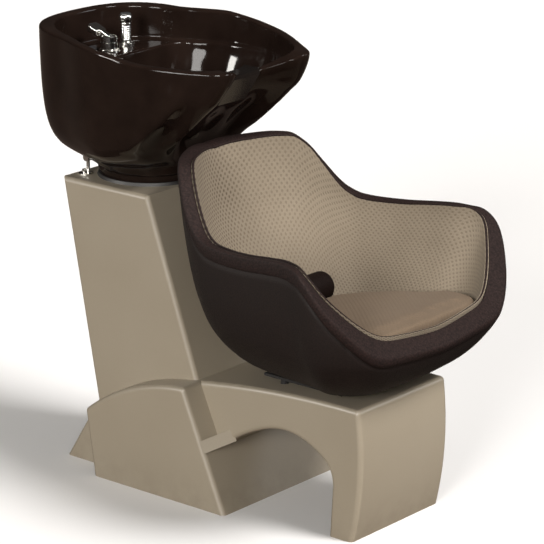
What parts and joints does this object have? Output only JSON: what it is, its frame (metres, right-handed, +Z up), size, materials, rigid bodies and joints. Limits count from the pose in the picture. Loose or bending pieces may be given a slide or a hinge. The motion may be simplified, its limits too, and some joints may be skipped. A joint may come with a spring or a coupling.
{
  "type": "hair washing bed",
  "caption": "Salon backwash unit: a deep tilting basin with neck notch, mixer and hand shower on a slanted column, and an upholstered tub seat on an arched bench",
  "frame": {"origin": "on the floor under the middle of the basin's collar column, on the unit's middle plane", "axes": "+Z is up. -Y points to the client's feet, +Y to the hairdresser behind the basin, +X to the client's left."},
  "size_m": [0.6542, 1.068, 1.0058],
  "materials": {
    "moulded": "satin cream-beige moulded fibreglass",
    "steel": "black powder coat",
    "zinc": "bright zinc-plated steel",
    "chrome": "polished chrome",
    "ceramic": "glossy black-brown glaze",
    "rubber": "matt black rubber",
    "drain": "off-white plastic drain fittings",
    "brass": "plain brass valve bodies",
    "lever": "red dipped lever",
    "hose": "black water hose",
    "cover_fabric": "very dark brown upholstery vinyl",
    "border_fabric": "dark brown textured upholstery",
    "lining_fabric": "beige woven upholstery",
    "shell": "moulded seat shell",
    "roll": "black vinyl",
    "sprayface": "grey nozzle plate"
  },
  "bodies": {
    "base": {"pedestal_shell": "moulded", "bench_shell": "moulded", "shell_screws": "zinc", "service_cover": "moulded", "cover_screws": "zinc", "floor_plate": "steel", "mast_posts": "steel", "mast_head": "steel", "bench_rails": "steel", "leg_frame": "steel", "valve_bridge": "steel", "seat_plate": "steel", "seat_spacers": "zinc", "seat_bolts": "zinc", "seat_cover": "cover_fabric", "seat_shell": "shell", "seat_lining": "lining_fabric", "seat_border": "border_fabric", "seat_cushion": "lining_fabric", "lumbar_roll": "roll", "collar": "rubber", "waste_cup": "drain", "waste_trap": "drain", "waste_pipe": "drain", "inlet_tails": "zinc", "cold_stop_valve": "brass", "hot_stop_valve": "brass", "rod_flange": "chrome"},
    "tilting_basin": {"basin": "ceramic", "neck_rest": "rubber", "waste_flange": "chrome", "waste_nut": "drain", "tailpiece": "drain", "mixer_body": "chrome", "mixer_nut": "brass", "mixer_tails": "zinc", "shower_holder": "chrome", "rod_lug": "chrome", "cold_hose": "hose", "hot_hose": "hose"},
    "mixer_cap": {"mixer_cap": "chrome"},
    "mixer_lever": {"mixer_lever": "chrome"},
    "hand_shower": {"hand_shower": "chrome", "spray_face": "sprayface", "shower_hose": "hose"},
    "strainer": {"strainer": "chrome"},
    "tilt_rod": {"tilt_rod": "chrome"},
    "clamp_wing": {"clamp_wing": "chrome"},
    "cold_valve_lever": {"cold_valve_lever": "lever"},
    "hot_valve_lever": {"hot_valve_lever": "lever"}
  },
  "joints": [
    {"name": "basin_tilt", "type": "hinge", "parent": "base", "child": "tilting_basin", "pos_m": [0, 0.082, 0.731], "axis": [1, 0, 0], "range_deg": [-8, 0], "deforming": ["cold_hose", "hot_hose"]},
    {"name": "rod_pivot", "type": "hinge", "parent": "tilting_basin", "child": "tilt_rod", "pos_m": [-0.094, 0.187, 0.7005], "axis": [1, 0, 0], "range_deg": [-0.5, 8.5]},
    {"name": "clamp_turn", "type": "hinge", "parent": "base", "child": "clamp_wing", "pos_m": [-0.1045, 0.19, 0.67], "axis": [0, 0, 1], "range_deg": [0, 90]},
    {"name": "mixer_turn", "type": "hinge", "parent": "tilting_basin", "child": "mixer_cap", "pos_m": [0, 0.205, 0.95], "axis": [0, 0, 1], "range_deg": [-45, 45]},
    {"name": "mixer_lift", "type": "hinge", "parent": "mixer_cap", "child": "mixer_lever", "pos_m": [0, 0.205, 0.957], "axis": [1, 0, 0], "range_deg": [0, 20]},
    {"name": "hand_shower_pull", "type": "slide", "parent": "tilting_basin", "child": "hand_shower", "axis": [0, 0, 1], "range_m": [0, 0.08]},
    {"name": "strainer_lift", "type": "slide", "parent": "tilting_basin", "child": "strainer", "axis": [0, 0, 1], "range_m": [0, 0.03]},
    {"name": "cold_valve_turn", "type": "hinge", "parent": "base", "child": "cold_valve_lever", "pos_m": [-0.06, 0.101, 0.3], "axis": [0, -1, 0], "range_deg": [0, 90]},
    {"name": "hot_valve_turn", "type": "hinge", "parent": "base", "child": "hot_valve_lever", "pos_m": [0.06, 0.101, 0.3], "axis": [0, 1, 0], "range_deg": [0, 90]}
  ],
  "couplings": [
    {"joint": "rod_pivot", "follows": "basin_tilt", "ratio": -1}
  ]
}
